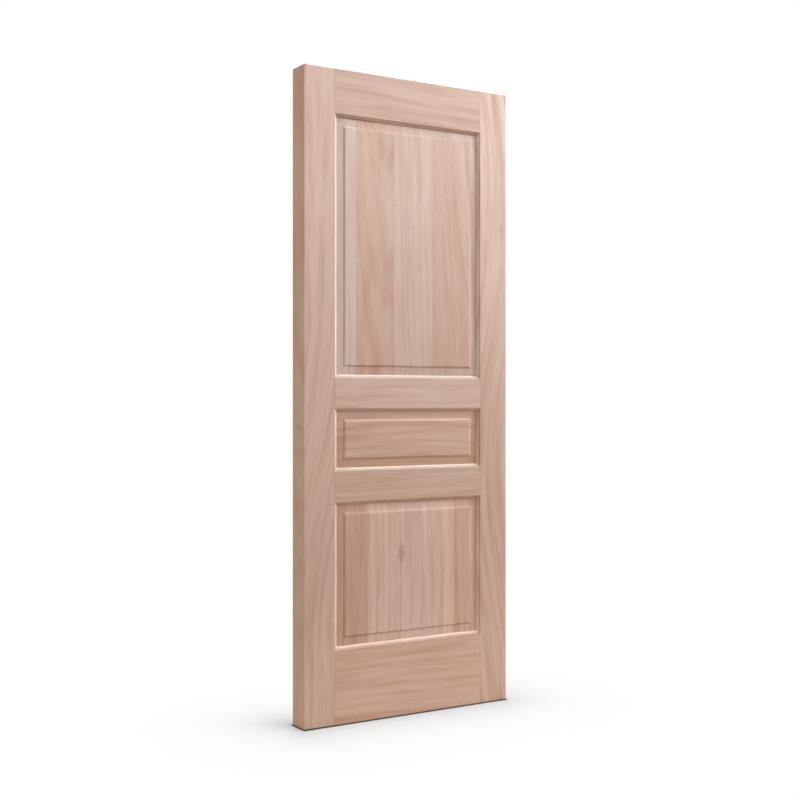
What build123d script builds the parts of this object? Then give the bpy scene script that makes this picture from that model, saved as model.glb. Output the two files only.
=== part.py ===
from build123d import *
import os

# Three-panel stile-and-rail door slab, in millimetres.
# The slab stands on Z = 0, with X across its width and Y through its thickness.
# The front face looks towards -Y, and the back face repeats it.

# Overall size
DOOR_HEIGHT = 2032.0
DOOR_WIDTH = 762.0
DOOR_THICKNESS = 78.0
ARRIS_RADIUS = 2.0
TRIM_ALLOWANCE = 20.0

# Flat face widths of the frame, up to where the moulded edges start
STILE_FACE = 106.0
TOP_RAIL_FACE = 138.0
UPPER_CROSS_RAIL_FACE = 95.0
LOWER_CROSS_RAIL_FACE = 95.0
BOTTOM_RAIL_FACE = 232.0

# Heights between the rail faces; the upper opening takes what is left
LOWER_OPENING = 459.0
MIDDLE_OPENING = 195.0

# Moulded edge: a quirk at the face, an ovolo, and a lip that laps the panel
STICKING_WIDTH = 10.5
STICKING_DEPTH = 10.5
QUIRK_DEPTH = 3.5
LIP_DEPTH = 2.0

# Groove behind the moulded edge, and the room left in it for the panel to swell
GROOVE_DEPTH = 12.0
PANEL_MOVEMENT = 3.0

# Raised panel: from the lip, a shallow bevel climbs to a steeper chamfer round the flat field
PANEL_REVEAL = 0.5
BEVEL_WIDTH = 23.0
BEVEL_RISE = 1.8
CHAMFER_WIDTH = 7.0
CHAMFER_RISE = 3.2

# Glue lines between panel staves, from the left stile's face edge
UPPER_GLUE_LINES = (80.0, 218.0, 365.0)
LOWER_GLUE_LINES = (121.0, 246.0, 373.0, 449.0)

# Blind tenons on the rail ends, in mortises cut from the stiles' groove floors
TENON_THICKNESS = 26.0
TENON_LENGTH = 60.0
TENON_SHOULDER = 12.0
TENON_HAUNCH = 34.0
MORTISE_END_GAP = 1.5

# Places that follow from the sizes above
OPENING_WIDTH = DOOR_WIDTH - 2 * STILE_FACE
LOWER_TOP = BOTTOM_RAIL_FACE + LOWER_OPENING
MIDDLE_BASE = LOWER_TOP + LOWER_CROSS_RAIL_FACE
MIDDLE_TOP = MIDDLE_BASE + MIDDLE_OPENING
UPPER_BASE = MIDDLE_TOP + UPPER_CROSS_RAIL_FACE
UPPER_TOP = DOOR_HEIGHT - TOP_RAIL_FACE
GROOVE_HALF = DOOR_THICKNESS / 2 - STICKING_DEPTH
GROOVE_BACKSET = GROOVE_DEPTH - STICKING_WIDTH
SHOULDER_SPAN = OPENING_WIDTH + 2 * GROOVE_BACKSET

# A rail's section lies in the plane across its length, with local x upwards
ACROSS = Plane(origin=(0, 0, 0), x_dir=(0, 0, 1), z_dir=(1, 0, 0))


def moulded_lip():
    """One lip of a moulded edge, past a face edge at x = 0, on the -y face."""
    face = -DOOR_THICKNESS / 2
    ovolo_start = face + QUIRK_DEPTH
    ovolo_end = face + STICKING_DEPTH - LIP_DEPTH
    with BuildSketch() as lip:
        with BuildLine():
            Line((0, -GROOVE_HALF), (0, ovolo_start))
            TangentArc((0, ovolo_start), (STICKING_WIDTH, ovolo_end), tangent=(1, 0))
            Line((STICKING_WIDTH, ovolo_end), (STICKING_WIDTH, -GROOVE_HALF))
            Line((STICKING_WIDTH, -GROOVE_HALF), (0, -GROOVE_HALF))
        make_face()
    return lip.sketch


def member_section(face_width, moulded_low, moulded_high):
    """Section of a stile or rail whose flat faces span x = 0 to face_width.

    A moulded side stands past that by its lips. A plain side is left wide, to be trimmed to the slab.
    """
    low = 0 if moulded_low else -TRIM_ALLOWANCE
    high = face_width if moulded_high else face_width + TRIM_ALLOWANCE
    section = Pos((low + high) / 2, 0) * Rectangle(high - low, DOOR_THICKNESS)
    lips = moulded_lip() + mirror(moulded_lip(), about=Plane.XZ)
    groove = Pos(-GROOVE_BACKSET / 2, 0) * Rectangle(GROOVE_BACKSET, 2 * GROOVE_HALF)
    if moulded_high:
        section = section + Pos(face_width, 0) * lips - Pos(face_width, 0) * groove
    if moulded_low:
        section = section + mirror(lips, about=Plane.YZ) - mirror(groove, about=Plane.YZ)
    return section


def tenons(base, top, moulded_low, moulded_high, end_gap):
    """Tenons at both ends of the rail whose faces span base to top, each longer by end_gap."""
    low = base + (TENON_SHOULDER if moulded_low else TENON_HAUNCH)
    high = top - (TENON_SHOULDER if moulded_high else TENON_HAUNCH)
    length = TENON_LENGTH + end_gap
    centre = Pos(SHOULDER_SPAN / 2 + length / 2, 0, (low + high) / 2)
    right = centre * Box(length, TENON_THICKNESS, high - low)
    return right + mirror(right, about=Plane.YZ)


def raised_section(clear):
    """Section of a panel seen between lips that stand clear apart, raised on both faces."""
    tongue = clear / 2 + GROOVE_DEPTH - PANEL_MOVEMENT
    foot = clear / 2 - PANEL_REVEAL
    head = foot - BEVEL_WIDTH
    field = head - CHAMFER_WIDTH
    bevel_top = GROOVE_HALF + BEVEL_RISE
    field_top = bevel_top + CHAMFER_RISE
    with BuildSketch() as quarter:
        with BuildLine():
            Polyline(
                (0, 0),
                (tongue, 0),
                (tongue, GROOVE_HALF),
                (foot, GROOVE_HALF),
                (head, bevel_top),
                (field, field_top),
                (0, field_top),
                close=True,
            )
        make_face()
    half = quarter.sketch + mirror(quarter.sketch, about=Plane.YZ)
    return half + mirror(half, about=Plane.XZ)


def raised_panel(base, top):
    """Panel in the opening from base to top: its two sections cross, so the bevels mitre at the corners."""
    clear_width = OPENING_WIDTH - 2 * STICKING_WIDTH
    clear_height = top - base - 2 * STICKING_WIDTH
    tongues = 2 * (GROOVE_DEPTH - PANEL_MOVEMENT)
    upright = extrude(raised_section(clear_width), amount=(clear_height + tongues) / 2, both=True)
    level = extrude(ACROSS * raised_section(clear_height), amount=(clear_width + tongues) / 2, both=True)
    return Pos(0, 0, (base + top) / 2) * (upright & level)


def staves(panel, glue_lines):
    """The panel's boards from left to right, parted at the glue lines."""
    boards = []
    rest = panel
    for line in glue_lines:
        cut = Plane.YZ.offset(line - OPENING_WIDTH / 2)
        boards.append(split(rest, bisect_by=cut, keep=Keep.BOTTOM))
        rest = split(rest, bisect_by=cut, keep=Keep.TOP)
    return boards + [rest]


# Rails: where the faces start and end, and which edges are moulded
RAILS = {
    "top_rail": (UPPER_TOP, DOOR_HEIGHT, True, False),
    "upper_cross_rail": (MIDDLE_TOP, UPPER_BASE, True, True),
    "lower_cross_rail": (LOWER_TOP, MIDDLE_BASE, True, True),
    "bottom_rail": (0.0, BOTTOM_RAIL_FACE, False, True),
}

# The eased outline that every frame piece is trimmed to
slab = Pos(0, 0, DOOR_HEIGHT / 2) * Box(DOOR_WIDTH, DOOR_THICKNESS, DOOR_HEIGHT)
slab = fillet(slab.edges(), ARRIS_RADIUS)

# Stiles run the full height with horns to trim, moulded and grooved along their inner edges
stile_bar = extrude(member_section(STILE_FACE, False, True), amount=DOOR_HEIGHT + 2 * TRIM_ALLOWANCE)
left_bar = Pos(-DOOR_WIDTH / 2, 0, -TRIM_ALLOWANCE) * stile_bar
stile_bars = [left_bar, mirror(left_bar, about=Plane.YZ)]

# Rails are coped over the stiles' moulding and tenoned into them
nodes = {}
mortises = []
for name, (base, top, moulded_low, moulded_high) in RAILS.items():
    section = member_section(top - base, moulded_low, moulded_high)
    rail = Pos(0, 0, base) * extrude(ACROSS * section, amount=SHOULDER_SPAN / 2, both=True)
    rail = rail - stile_bars + tenons(base, top, moulded_low, moulded_high, 0)
    nodes[name] = rail & slab
    mortises.append(tenons(base, top, moulded_low, moulded_high, MORTISE_END_GAP))

for name, bar in zip(("left_stile", "right_stile"), stile_bars):
    nodes[name] = (bar - mortises) & slab

# Panels float in the grooves
for name, base, top, glue_lines in (
    ("upper_panel", UPPER_BASE, UPPER_TOP, UPPER_GLUE_LINES),
    ("lower_panel", BOTTOM_RAIL_FACE, LOWER_TOP, LOWER_GLUE_LINES),
):
    for number, board in enumerate(staves(raised_panel(base, top), glue_lines), start=1):
        nodes[f"{name}_stave_{number}"] = board
nodes["middle_panel"] = raised_panel(MIDDLE_BASE, MIDDLE_TOP)

os.makedirs("parts", exist_ok=True)
for name, shape in nodes.items():
    export_step(shape, f"parts/{name}.step")
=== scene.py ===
import math
from dataclasses import dataclass

import bpy
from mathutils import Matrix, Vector


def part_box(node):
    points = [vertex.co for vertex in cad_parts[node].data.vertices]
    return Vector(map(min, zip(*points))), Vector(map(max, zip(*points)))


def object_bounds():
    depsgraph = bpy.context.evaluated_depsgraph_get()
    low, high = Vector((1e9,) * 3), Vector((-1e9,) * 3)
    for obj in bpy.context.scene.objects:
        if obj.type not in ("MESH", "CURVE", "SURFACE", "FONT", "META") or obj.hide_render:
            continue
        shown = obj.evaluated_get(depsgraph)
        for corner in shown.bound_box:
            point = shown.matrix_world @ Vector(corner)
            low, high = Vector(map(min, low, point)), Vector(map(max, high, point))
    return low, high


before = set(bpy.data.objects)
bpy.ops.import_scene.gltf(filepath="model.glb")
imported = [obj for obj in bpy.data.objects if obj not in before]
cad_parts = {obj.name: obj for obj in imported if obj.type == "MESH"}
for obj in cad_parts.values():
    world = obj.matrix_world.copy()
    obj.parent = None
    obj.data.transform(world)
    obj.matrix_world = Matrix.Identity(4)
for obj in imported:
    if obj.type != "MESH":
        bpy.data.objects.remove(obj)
cad_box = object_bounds()
scene = bpy.context.scene

# Half the door's width, thickness and height, in metres
HALF_WIDTH = cad_box[1][0]
HALF_THICKNESS = cad_box[1][1]
HALF_HEIGHT = cad_box[1][2] / 2

# Camera, in metres: before the door and to its left, level with the upper cross rail
CAMERA_PLACE = (-2.138, -3.434, 1.007)
CAMERA_TURN = math.radians(31.74)
CAMERA_LENS_MM = 56.34
SENSOR_MM = 36.0

# White floor, with a soft shadow round the door's foot that is partly painted, and a painted shadow line
# where the two meet.
# The painted line is pinched beside the door's narrow edges. Painted dark lines are full over a share of
# their reach.
WHITE = (1.0, 1.0, 1.0, 1.0)
FLOOR_REACH = 30.0
FLOOR_GREY = 0.42
SHADOW_DEPTH = 0.68
SHADOW_REACH = 0.11
CONTACT_REACH = 0.014
CONTACT_PINCH = 2.0
PAINTED_CONTACT_SHADE = (0.2, 0.2, 0.2)
DARK_CORE = 1 / 3

# Edges that turn by more than an angle are eased, which leaves a fine line where two boards meet.
# Points closer than the weld distance are one.
EASED_EDGE = 0.0005
EASED_SEGMENTS = 2
EASED_ANGLE = math.radians(16)
WELD_DISTANCE = 0.00001

# The stiles' flat face, up to where their moulding starts, and the dark line at the rails' shoulders
STILE_FACE = 0.106
JOINT_LINE = 0.0012
JOINT_SHADE = 0.55

# Marks in the wood: lengths along the grain, or widths across it and lengths along it
FIGURE_LENGTH = 0.9
VEIN_LENGTH = 1.1
STREAK_SIZE = (0.005, 0.5)
BLOTCH_SIZE = (0.030, 0.25)
TINGE_SIZE = (0.022, 0.15)
FIBRE_SIZE = (0.0016, 0.07)
PORE_SIZE = (0.00045, 0.007)

# The grain wanders sideways by a small distance, at rates per metre across it and along it
WANDER = 0.010
WANDER_RATES = (7.0, 3.0)

# Veins are thin lines, wider apart than the figure's bands. The levels of the noise are those at which
# veins, pores and the change from pink to straw start and are full.
VEIN_SPREAD = 1.4
VEIN_LEVELS = (0.16, 0.0)
PORE_LEVELS = (0.34, 0.5)
TINGE_LEVELS = (-0.5, 0.5)

# Bands change slowly through the thickness, and each board's marks are read at a place of their own
BAND_DEPTH_RATE = 3.0
SEED_STEP = 7.31

# How much each kind of mark darkens the wood; the balance makes up for the veins
FIGURE_SHADE = 0.85
VEIN_SHADE = 0.4
VEIN_BALANCE = -0.12
STREAK_SHADE = 0.35
BLOTCH_SHADE = 0.65
FIBRE_SHADE = 0.35
PORE_SHADE = 0.3

# A knot is dark within its half sizes and darkest in its core, its push on the grain fades outwards,
# and a thin dark tail runs above and below it
KNOT_CORE = (1.0, 0.3)
KNOT_FADE = -0.7
TAIL_HALF_WIDTH = 0.004
TAIL_SHADE = 0.3

# Colours as shares of a board's tone
LATE_WOOD = (0.76, 0.61, 0.50)
EARLY_WOOD = (1.16, 1.30, 1.42)
PINK_TINGE = (1.0, 0.975, 1.015)
STRAW_TINGE = (1.0, 1.005, 0.965)

# Darker colours as shares of the late wood: pores and joints, knots, and the painted shade line at the
# door's foot
DEEP_TONE = (0.6, 0.55, 0.5)
KNOT_TONE = (0.75, 0.66, 0.58)
PAINTED_FOOT_SHADE_TONE = (0.3, 0.28, 0.26)

# Painted light and shade: the wood is painted paler low down, a painted shade line darkens its foot, and its
# long outer edges are painted browner as shade
PAINTED_LOW_LIGHT_TINT = (1.16, 1.18, 1.17, 1.0)
PAINTED_LOW_LIGHT_HEIGHTS = (0.45, 0.05)
PAINTED_FOOT_SHADE_LINE = 0.004
PAINTED_EDGE_SHADE_TINT = (0.96, 0.91, 0.84, 1.0)
PAINTED_EDGE_SHADE_DEPTHS = (0.0008, 0.0002)

# Painted light and shade on cut mouldings and bevels: they are tinted paler and whiter as painted light,
# highlights and sheen, ledges that face up get a painted highlight, and undersides and the middle panel's
# bevels are painted darker as shade. Levels are distances from the door's middle plane.
MOULDED_LEVEL = 0.0358
PAINTED_MOULDING_HIGHLIGHT_TINT = (1.07, 1.19, 1.26, 1.0)
PAINTED_RIGHT_MOULDING_LIGHT_TINT = (1.15, 1.20, 1.21, 1.0)
PAINTED_LEDGE_HIGHLIGHT_TINT = (0.97, 1.10, 1.17, 1.0)
PAINTED_UNDERSIDE_SHADE_TINT = (1.10, 0.95, 0.85, 1.0)
BEVEL_LEVEL = 0.0308
PAINTED_BEVEL_LIGHT_TINT = (1.09, 1.10, 1.11, 1.0)
PAINTED_RIGHT_BEVEL_SHEEN_TINT = (1.08, 1.22, 1.33, 1.0)
PAINTED_MIDDLE_BEVEL_SHADE_TINT = (0.95, 0.94, 0.92, 1.0)
PAINTED_MIDDLE_UNDER_SHADE_TINT = (0.97, 0.88, 0.82, 1.0)

# Room left beside the stiles' moulded edges, and the depth over which the painted light and shade of a cut
# edge fades
CUT_MARGIN = 0.005
CUT_FADE = 0.0005

# The sheen of the wood, and what adds to its roughness: the stiles' mouldings, and the panels' chamfers,
# most of all on the right and at the lower panel's head
SPECULAR = 0.25
ROUGHNESS = (0.42, 0.52)
ROUGHNESS_SHADES = (-0.8, 0.8)
MOULDED_ROUGH = 0.12
CHAMFER_LEVELS = (0.0303, 0.0334)
CHAMFER_ROUGH = 0.05
RIGHT_CHAMFER_ROUGH = 0.14
RIGHT_CHAMFER_START = 0.2
LOW_HEAD_ROUGH = 0.25
LOW_HEAD_START = 0.18

# Fine relief: fibres and veins stand up, and pores are open
FIBRE_RELIEF = 0.3
VEIN_RELIEF = 0.2
PORE_RELIEF = -0.8
RELIEF_STRENGTH = 0.25
RELIEF_DEPTH = 0.0003


@dataclass
class Softbox:
    """Rectangular lamp aimed at a target, in metres and watts. Gloss_only leaves just its highlight."""

    name: str
    size: tuple
    place: tuple
    target: tuple
    power: float
    gloss_only: bool = False


SOFTBOXES = (
    Softbox("key", (7.7, 7.7), (7.3, -6.0, 11.6), (0, 0, -6), 790),
    Softbox("top", (4.2, 4.2), (1.1, -3.4, 12.0), (0, 0, -6), 660),
    Softbox("front", (3.4, 3.4), (1.4, -9.0, 3.8), (0, 0, 0), 118),
    Softbox("right", (1.1, 3.0), (6.6, -2.4, 2.6), (0, 0, 0.8), 300),
    Softbox("left", (2.8, 3.4), (-7.0, -1.26, 3.2), (0, 0, 1.0), 255),
    Softbox("back", (4.2, 4.2), (3.6, 8.4, 8.4), (0, 0, 1.0), 1100),
    Softbox("haze", (3.0, 1.4), (3.1, -4.1, 3.3), (0, 0, 1.8), 345, gloss_only=True),
    Softbox("right sheen", (0.8, 2.6), (3.6, -0.45, 1.9), (0, 0, 1.2), 340, gloss_only=True),
    Softbox("high sheen", (1.6, 1.6), (3.2, -0.35, 6.2), (0, 0, 1.1), 1100, gloss_only=True),
)


@dataclass
class Knot:
    """A knot's place on its board, its half sizes, and what it does to the wood round it.

    Push is how far it moves the grain aside, dark is how dark it is, and tail is how far its tail runs.
    """

    across: float
    along: float
    half_width: float
    half_length: float
    push: float
    dark: float
    tail: float


@dataclass
class Board:
    """How one board was sawn, its colour, and how its cut edges differ from its faces in painted light and
    shade and in roughness.

    Lengths are in metres. Along is the grain's direction, across lies in the door's face, and depth
    goes through the door, all from the middle of the board. The growth rings are centred on the pith.
    """

    tone: tuple
    level: bool = False
    raised: bool = False
    pith_across: float = 0.6
    pith_depth: float = 0.1
    lean: float = 0.0
    sway: float = 0.0
    sway_at: float = 0.0
    sway_length: float = 1.0
    swerve: float = 0.0
    swerve_from: float = 0.0
    swerve_to: float = 1.0
    taper: float = 0.0
    band: float = 0.018
    figure: float = 0.8
    streak: float = 0.8
    cut_level: float = MOULDED_LEVEL
    cut_tint: tuple = PAINTED_MOULDING_HIGHLIGHT_TINT
    under_tint: tuple | None = None
    cut_rough: float = 0.0
    head_rough: float = 0.0
    knots: tuple = ()


def stile(**details):
    """A stile, whose moulding is rougher than its face."""
    return Board(cut_rough=MOULDED_ROUGH, **details)


def rail(**details):
    """A rail, which lies level, with a painted highlight on its ledge above and painted shade on its
    underside.
    """
    return Board(level=True, cut_tint=PAINTED_LEDGE_HIGHLIGHT_TINT, under_tint=PAINTED_UNDERSIDE_SHADE_TINT, **details)


def panel(cut_tint=PAINTED_BEVEL_LIGHT_TINT, **details):
    """One board of a raised panel, whose bevels are painted lighter unless another painted tint is given."""
    return Board(raised=True, cut_level=BEVEL_LEVEL, cut_tint=cut_tint, **details)


def low_panel(**details):
    """One board of the lower panel, whose chamfer is roughest at its head."""
    return panel(head_rough=LOW_HEAD_ROUGH, **details)


def low_knot(across):
    """One half of the knot that lies on the lower panel's second glue line."""
    return Knot(across, along=0.054, half_width=0.021, half_length=0.056, push=0.012, dark=0.42, tail=0.20)


BOARDS = {
    "left_stile": stile(
        tone=(192, 158, 139), swerve=0.17, swerve_from=-0.75, swerve_to=0.25,
        band=0.026, figure=0.65, streak=0.5,
    ),
    "right_stile": stile(
        tone=(188, 153, 133), pith_across=-0.6, sway=-0.055, sway_at=-0.23, sway_length=1.8,
        band=0.028, figure=1.25, cut_tint=PAINTED_RIGHT_MOULDING_LIGHT_TINT,
        knots=(Knot(0.040, 0.560, half_width=0.006, half_length=0.012, push=0.010, dark=0.4, tail=0.04),),
    ),
    "top_rail": rail(tone=(180, 145, 125), lean=-0.02, band=0.022, figure=0.9, streak=1.0),
    "upper_cross_rail": rail(tone=(192, 159, 141), band=0.018),
    "lower_cross_rail": rail(tone=(187, 155, 134), band=0.016),
    "bottom_rail": rail(tone=(192, 154, 134), lean=-0.02, band=0.024, figure=0.75, streak=0.9),
    "upper_panel_stave_1": panel(tone=(191, 166, 152), band=0.010, figure=0.4, streak=0.6),
    "upper_panel_stave_2": panel(
        tone=(184, 147, 125), pith_across=0.05, pith_depth=0.12, taper=-0.06, band=0.016, streak=1.1,
    ),
    "upper_panel_stave_3": panel(tone=(187, 156, 138), pith_across=-0.6, lean=-0.03, band=0.016, figure=0.5),
    "upper_panel_stave_4": panel(
        tone=(181, 145, 124), pith_across=-0.6, lean=-0.10, band=0.030, cut_tint=PAINTED_RIGHT_BEVEL_SHEEN_TINT,
    ),
    "middle_panel": panel(
        tone=(188, 151, 129), level=True, sway=0.012, sway_length=0.9, band=0.020, figure=0.9, streak=1.0,
        cut_tint=PAINTED_MIDDLE_BEVEL_SHADE_TINT, under_tint=PAINTED_MIDDLE_UNDER_SHADE_TINT,
    ),
    "lower_panel_stave_1": low_panel(tone=(184, 146, 124), band=0.016),
    "lower_panel_stave_2": low_panel(tone=(197, 162, 143), band=0.016, knots=(low_knot(0.0625),)),
    "lower_panel_stave_3": low_panel(
        tone=(198, 165, 148), pith_across=-0.6, band=0.018, figure=0.7, knots=(low_knot(-0.0635),),
    ),
    "lower_panel_stave_4": low_panel(tone=(200, 165, 144), pith_across=-0.6, band=0.013),
    "lower_panel_stave_5": low_panel(tone=(189, 151, 129), pith_across=-0.6, band=0.016),
}


def linear(colour):
    """A colour given as 0 to 255 display values, as the linear values that shaders use."""
    values = []
    for level in colour:
        v = level / 255
        values.append(v / 12.92 if v <= 0.04045 else ((v + 0.055) / 1.055) ** 2.4)
    return (*values, 1.0)


def scaled(colour, shares):
    """A colour with its red, green and blue multiplied by three shares."""
    return (*(value * share for value, share in zip(colour, shares)), 1.0)


class Shader:
    """Adds nodes to one node tree and wires them together."""

    def __init__(self, tree):
        self.nodes = tree.nodes
        self.links = tree.links
        self.nodes.clear()

    def feed(self, socket, value):
        """Links a socket to another, or sets it to a plain value."""
        if isinstance(value, bpy.types.NodeSocket):
            self.links.new(value, socket)
        else:
            socket.default_value = value

    def math(self, operation, *values):
        node = self.nodes.new("ShaderNodeMath")
        node.operation = operation
        for socket, value in zip(node.inputs, values):
            self.feed(socket, value)
        return node.outputs[0]

    def add(self, first, second):
        return self.math("ADD", first, second)

    def times(self, first, second):
        return self.math("MULTIPLY", first, second)

    def absolute(self, value):
        return self.math("ABSOLUTE", value)

    def length(self, first, second):
        return self.math("SQRT", self.add(self.math("POWER", first, 2.0), self.math("POWER", second, 2.0)))

    def smooth(self, value, low, high, start=0.0, end=1.0):
        """Eases from start to end while value goes from low to high."""
        node = self.nodes.new("ShaderNodeMapRange")
        node.interpolation_type = "SMOOTHSTEP"
        for name, given in (
            ("Value", value),
            ("From Min", low),
            ("From Max", high),
            ("To Min", start),
            ("To Max", end),
        ):
            self.feed(node.inputs[name], given)
        return node.outputs[0]

    def parts(self, vector):
        node = self.nodes.new("ShaderNodeSeparateXYZ")
        self.feed(node.inputs[0], vector)
        return node.outputs

    def noise(self, x, y, z, detail=2.0, roughness=0.5):
        """Noise from -1 to 1, with features of about one unit, read at a point."""
        point = self.nodes.new("ShaderNodeCombineXYZ")
        for socket, value in zip(point.inputs, (x, y, z)):
            self.feed(socket, value)
        node = self.nodes.new("ShaderNodeTexNoise")
        self.feed(node.inputs["Vector"], point.outputs[0])
        self.feed(node.inputs["Scale"], 1.0)
        self.feed(node.inputs["Detail"], detail)
        self.feed(node.inputs["Roughness"], roughness)
        return self.math("MULTIPLY_ADD", node.outputs["Fac"], 2.0, -1.0)

    def mix(self, factor, first, second, blend="MIX"):
        node = self.nodes.new("ShaderNodeMix")
        node.data_type = "RGBA"
        node.blend_type = blend
        self.feed(node.inputs["Factor"], factor)
        self.feed(node.inputs["A"], first)
        self.feed(node.inputs["B"], second)
        return node.outputs["Result"]

    def place(self):
        """Where on the door a point lies, as x, y and z."""
        return self.parts(self.nodes.new("ShaderNodeTexCoord").outputs["Object"])

    def seen_directly(self):
        """One for what the camera sees, straight or through gloss and glass, and nothing for other light."""
        path = self.nodes.new("ShaderNodeLightPath")
        straight = self.math("MAXIMUM", path.outputs["Is Camera Ray"], path.outputs["Is Glossy Ray"])
        return self.math("MAXIMUM", straight, path.outputs["Is Transmission Ray"])

    def output(self, kind, shader):
        node = self.nodes.new(kind)
        self.links.new(shader, node.inputs["Surface"])


class Wood(Shader):
    """One board as solid wood: growth rings round a pith, and marks that follow the same grain."""

    def __init__(self, tree, board, centre, seed):
        super().__init__(tree)
        self.board = board
        self.shift = seed * SEED_STEP
        self.x, self.depth, self.z = self.place()
        sideways = self.add(self.x, -centre.x)
        self.upwards = self.add(self.z, -centre.z)
        self.across, self.along = (self.upwards, sideways) if board.level else (sideways, self.upwards)
        self.grain = self.math("SUBTRACT", self.across, self.drift())
        self.growth, self.knots = self.rings()
        self.fibre = self.fibres(FIBRE_SIZE)
        self.pore = self.smooth(self.fibres(PORE_SIZE, detail=0.0), *PORE_LEVELS)
        waves = self.bands(board.band * VEIN_SPREAD, VEIN_LENGTH)
        self.veins = self.smooth(self.absolute(waves), *VEIN_LEVELS)
        self.shade = self.darkness()
        self.cut = self.cut_edge()

    def drift(self):
        """Sideways drift of the grain: a lean, a sway, a swerve and a small wander."""
        board = self.board
        drift = self.times(self.along, board.lean)
        if board.sway:
            angle = self.times(self.add(self.along, -board.sway_at), 2 * math.pi / board.sway_length)
            drift = self.add(drift, self.times(self.math("COSINE", angle), board.sway))
        if board.swerve:
            bend = self.smooth(self.along, board.swerve_from, board.swerve_to, 0.0, board.swerve)
            drift = self.add(drift, bend)
        across_rate, along_rate = WANDER_RATES
        wander = self.noise(
            self.times(self.across, across_rate),
            self.times(self.depth, across_rate),
            self.add(self.times(self.along, along_rate), self.shift),
        )
        return self.add(drift, self.times(wander, WANDER))

    def rings(self):
        """Growth counted outwards from the pith and pushed aside by knots, and how dark the knots are."""
        board = self.board
        beside_pith = self.add(self.grain, -board.pith_across)
        behind_pith = self.add(self.depth, -board.pith_depth)
        growth = self.add(self.length(beside_pith, behind_pith), self.times(self.along, board.taper))
        dark = 0.0
        for knot in board.knots:
            beside = self.absolute(self.add(self.across, -knot.across))
            beyond = self.absolute(self.add(self.along, -knot.along))
            away = self.add(
                self.math("DIVIDE", beside, knot.half_width), self.math("DIVIDE", beyond, knot.half_length)
            )
            push = self.times(self.math("EXPONENT", self.times(away, KNOT_FADE)), knot.push)
            growth = self.add(growth, push)
            dark = self.add(dark, self.smooth(away, *KNOT_CORE, 0.0, knot.dark))
            tail = self.times(self.smooth(beside, TAIL_HALF_WIDTH, 0.0), self.smooth(beyond, knot.tail, 0.0))
            dark = self.add(dark, self.times(tail, TAIL_SHADE))
        return growth, dark

    def marks(self, field, width, length, depth_rate, **texture):
        """Noise in marks of a width across the field and a length along the board."""
        return self.noise(
            self.add(self.times(field, 1 / width), self.shift),
            self.times(self.depth, depth_rate),
            self.times(self.along, 1 / length),
            **texture,
        )

    def bands(self, width, length, **texture):
        """Bands that follow the growth, uneven in width and strength."""
        return self.marks(self.growth, width, length, BAND_DEPTH_RATE, **texture)

    def fibres(self, size, **texture):
        """Short marks that follow the grain."""
        width, length = size
        return self.marks(self.grain, width, length, 1 / width, **texture)

    def darkness(self):
        """Positive in late wood, veins and streaks, and negative in early wood."""
        board = self.board
        figure = self.bands(board.band, FIGURE_LENGTH, detail=3.0, roughness=0.6)
        veins = self.add(self.times(self.veins, VEIN_SHADE), VEIN_BALANCE)
        shade = self.times(self.add(figure, veins), FIGURE_SHADE * board.figure)
        shade = self.add(shade, self.times(self.bands(*STREAK_SIZE), STREAK_SHADE * board.streak))
        shade = self.add(shade, self.times(self.fibres(BLOTCH_SIZE), BLOTCH_SHADE * board.streak))
        return self.add(shade, self.times(self.fibre, FIBRE_SHADE))

    def cut_edge(self):
        """One on mouldings and bevels, and nothing on the flat faces and the slab's outer edges."""
        beside = self.math("LESS_THAN", self.absolute(self.x), HALF_WIDTH - STILE_FACE + CUT_MARGIN)
        from_middle = self.absolute(self.add(self.z, -HALF_HEIGHT))
        within = self.times(beside, self.math("LESS_THAN", from_middle, HALF_HEIGHT - STILE_FACE))
        level = self.board.cut_level
        return self.times(self.smooth(self.absolute(self.depth), level + CUT_FADE, level), within)

    def cut_tint(self):
        """The painted light and shade of the cut edges, with painted shade of its own on the underside of a
        board that lies level.
        """
        board = self.board
        if board.under_tint is None:
            return board.cut_tint
        return self.mix(self.math("GREATER_THAN", self.upwards, 0.0), board.under_tint, board.cut_tint)

    def colour(self):
        """The board's tone with a pink or a straw tinge, browner in late wood, pores and knots, and with
        painted light and shade.
        """
        tone = linear(self.board.tone)
        late = scaled(tone, LATE_WOOD)
        tinge = self.smooth(self.fibres(TINGE_SIZE), *TINGE_LEVELS)
        colour = self.mix(tinge, scaled(tone, PINK_TINGE), scaled(tone, STRAW_TINGE))
        colour = self.mix(self.shade, colour, late)
        colour = self.mix(self.times(self.shade, -1.0), colour, scaled(tone, EARLY_WOOD))
        colour = self.mix(self.times(self.pore, PORE_SHADE), colour, scaled(late, DEEP_TONE))
        if self.board.knots:
            colour = self.mix(self.knots, colour, scaled(late, KNOT_TONE))
        # Painted light: the wood is made paler low down.
        colour = self.mix(self.smooth(self.z, *PAINTED_LOW_LIGHT_HEIGHTS), colour, PAINTED_LOW_LIGHT_TINT, "MULTIPLY")
        # Painted light and shade: cut edges are tinted paler and whiter as highlights and sheen, or darker
        # on undersides.
        colour = self.mix(self.cut, colour, self.cut_tint(), "MULTIPLY")
        # Painted shade: a fine dark line at the door's foot.
        foot = self.smooth(self.z, PAINTED_FOOT_SHADE_LINE, PAINTED_FOOT_SHADE_LINE * DARK_CORE)
        colour = self.mix(foot, colour, scaled(late, PAINTED_FOOT_SHADE_TONE))
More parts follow.
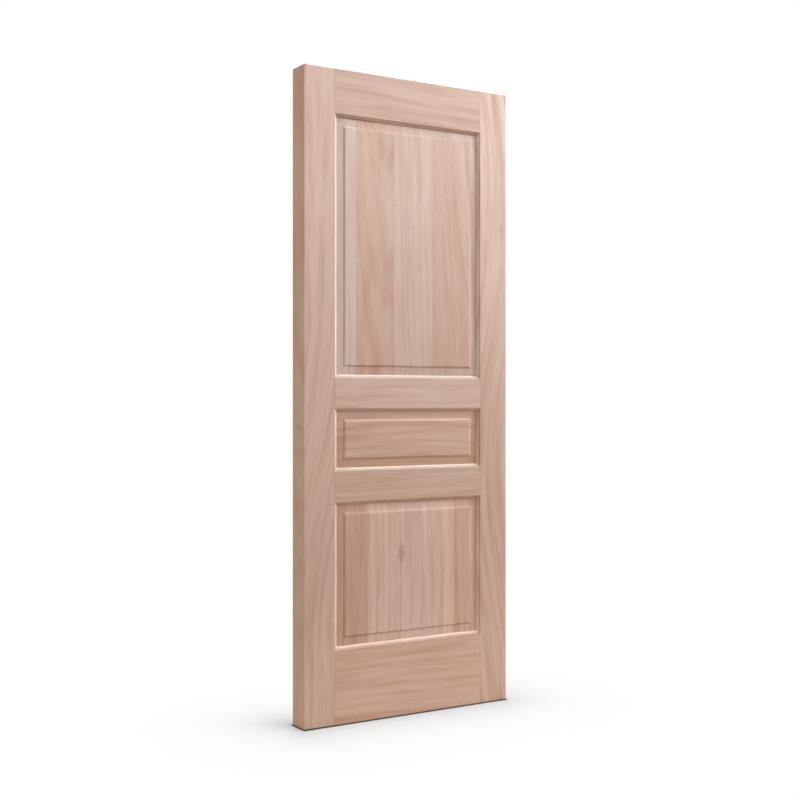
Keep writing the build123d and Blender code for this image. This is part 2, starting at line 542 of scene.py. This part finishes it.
        # Painted shade: the long outer edges are made browner.
        start, full = PAINTED_EDGE_SHADE_DEPTHS
        painted_edge_shade = self.smooth(self.absolute(self.x), HALF_WIDTH - start, HALF_WIDTH - full)
        colour = self.mix(painted_edge_shade, colour, PAINTED_EDGE_SHADE_TINT, "MULTIPLY")
        if self.board.level:
            shoulder = HALF_WIDTH - STILE_FACE
            seam = self.smooth(self.absolute(self.x), shoulder - JOINT_LINE, shoulder - JOINT_LINE / 2)
            colour = self.mix(self.times(seam, JOINT_SHADE), colour, scaled(late, DEEP_TONE))
        return colour

    def roughness(self):
        """Late wood is a little rougher than early wood, and cut edges than faces."""
        board = self.board
        roughness = self.smooth(self.shade, *ROUGHNESS_SHADES, *ROUGHNESS)
        if board.cut_rough:
            roughness = self.add(roughness, self.times(self.cut, board.cut_rough))
        if board.raised:
            foot, head = CHAMFER_LEVELS
            chamfer = self.times(
                self.math("GREATER_THAN", self.absolute(self.depth), foot),
                self.math("LESS_THAN", self.absolute(self.depth), head),
            )
            on_right = self.math("GREATER_THAN", self.x, RIGHT_CHAMFER_START)
            added = self.add(self.times(on_right, RIGHT_CHAMFER_ROUGH), CHAMFER_ROUGH)
            if board.head_rough:
                at_head = self.math("GREATER_THAN", self.upwards, LOW_HEAD_START)
                added = self.add(added, self.times(at_head, board.head_rough))
            roughness = self.add(roughness, self.times(chamfer, added))
        return roughness

    def relief(self):
        """The fine relief, as the surface's normal."""
        height = self.add(self.times(self.fibre, FIBRE_RELIEF), self.times(self.veins, VEIN_RELIEF))
        height = self.add(height, self.times(self.pore, PORE_RELIEF))
        bump = self.nodes.new("ShaderNodeBump")
        self.feed(bump.inputs["Strength"], RELIEF_STRENGTH)
        self.feed(bump.inputs["Distance"], RELIEF_DEPTH)
        self.feed(bump.inputs["Height"], height)
        return bump.outputs["Normal"]


def new_material(name):
    material = bpy.data.materials.new(name)
    material.use_nodes = True
    return material


def wood(name, seed):
    """The material of one board."""
    material = new_material(name)
    low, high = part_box(name)
    s = Wood(material.node_tree, BOARDS[name], (low + high) / 2, seed)
    surface = s.nodes.new("ShaderNodeBsdfPrincipled")
    s.feed(surface.inputs["Base Color"], s.colour())
    s.feed(surface.inputs["Roughness"], s.roughness())
    s.feed(surface.inputs["Specular IOR Level"], SPECULAR)
    s.feed(surface.inputs["Normal"], s.relief())
    s.output("ShaderNodeOutputMaterial", surface.outputs[0])
    return material


def dress(node, seed):
    """Gives a board its wood and eases its edges."""
    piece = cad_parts[node]
    piece.data.materials.clear()
    piece.data.materials.append(wood(node, seed))
    weld = piece.modifiers.new("weld", "WELD")
    weld.merge_threshold = WELD_DISTANCE
    bevel = piece.modifiers.new("eased edges", "BEVEL")
    bevel.width = EASED_EDGE
    bevel.segments = EASED_SEGMENTS
    bevel.limit_method = "ANGLE"
    bevel.angle_limit = EASED_ANGLE
    normals = piece.modifiers.new("flat faces", "WEIGHTED_NORMAL")
    normals.keep_sharp = False


def floor_material():
    """White floor that fades into the white background, with a partly painted soft shadow and a painted
    shadow line at the door's foot.
    """
    material = new_material("floor")
    s = Shader(material.node_tree)
    x, y, _ = s.place()
    beside = s.math("MAXIMUM", s.add(s.absolute(x), -HALF_WIDTH), 0.0)
    before = s.math("MAXIMUM", s.add(s.absolute(y), -HALF_THICKNESS), 0.0)
    away = s.length(beside, before)
    # The soft shadow is partly painted: near the door the white gives way to grey paper, which shows the
    # real shadow.
    shadow = s.times(s.math("EXPONENT", s.math("DIVIDE", away, -SHADOW_REACH)), SHADOW_DEPTH)
    # Painted shadow: the paper is darkened in a fine line where the door stands on it.
    near = s.length(s.times(beside, CONTACT_PINCH), before)
    painted_contact_shadow = s.smooth(near, CONTACT_REACH, CONTACT_REACH * DARK_CORE)
    white_share = s.math("SUBTRACT", 1.0, s.math("MAXIMUM", shadow, painted_contact_shadow))
    paper = s.nodes.new("ShaderNodeBsdfDiffuse")
    grey = (FLOOR_GREY, FLOOR_GREY, FLOOR_GREY, 1.0)
    s.feed(paper.inputs["Color"], s.mix(painted_contact_shadow, grey, scaled(grey, PAINTED_CONTACT_SHADE)))
    white = s.nodes.new("ShaderNodeEmission")
    s.feed(white.inputs["Color"], WHITE)
    blend = s.nodes.new("ShaderNodeMixShader")
    s.feed(blend.inputs["Fac"], s.times(white_share, s.seen_directly()))
    s.links.new(paper.outputs[0], blend.inputs[1])
    s.links.new(white.outputs[0], blend.inputs[2])
    s.output("ShaderNodeOutputMaterial", blend.outputs[0])
    return material


def make_floor():
    """A wide flat floor under the door."""
    reach = FLOOR_REACH
    mesh = bpy.data.meshes.new("floor")
    corners = [(-reach, -reach, 0), (reach, -reach, 0), (reach, reach, 0), (-reach, reach, 0)]
    mesh.from_pydata(corners, [], [(0, 1, 2, 3)])
    mesh.materials.append(floor_material())
    floor = bpy.data.objects.new("floor", mesh)
    scene.collection.objects.link(floor)


def make_world():
    """White where it is seen or mirrored, and dark to all other light."""
    world = bpy.data.worlds.new("studio")
    world.use_nodes = True
    scene.world = world
    s = Shader(world.node_tree)
    background = s.nodes.new("ShaderNodeBackground")
    s.feed(background.inputs["Color"], WHITE)
    s.feed(background.inputs["Strength"], s.seen_directly())
    s.output("ShaderNodeOutputWorld", background.outputs[0])


def make_softbox(softbox):
    """Hangs one lamp and aims it."""
    data = bpy.data.lights.new(softbox.name, "AREA")
    data.shape = "RECTANGLE"
    data.size, data.size_y = softbox.size
    data.energy = softbox.power
    lamp = bpy.data.objects.new(softbox.name, data)
    lamp.location = softbox.place
    aim = Vector(softbox.target) - Vector(softbox.place)
    lamp.rotation_euler = aim.to_track_quat("-Z", "Y").to_euler()
    lamp.visible_diffuse = not softbox.gloss_only
    scene.collection.objects.link(lamp)


def make_camera():
    """A level camera, turned towards the door."""
    data = bpy.data.cameras.new("camera")
    data.lens = CAMERA_LENS_MM
    data.sensor_width = SENSOR_MM
    camera = bpy.data.objects.new("camera", data)
    camera.location = CAMERA_PLACE
    camera.rotation_euler = (math.radians(90), 0, -CAMERA_TURN)
    scene.collection.objects.link(camera)
    scene.camera = camera


for seed, node in enumerate(sorted(BOARDS)):
    dress(node, seed)
make_floor()
make_world()
for softbox in SOFTBOXES:
    make_softbox(softbox)
make_camera()
scene.view_settings.view_transform = "Standard"
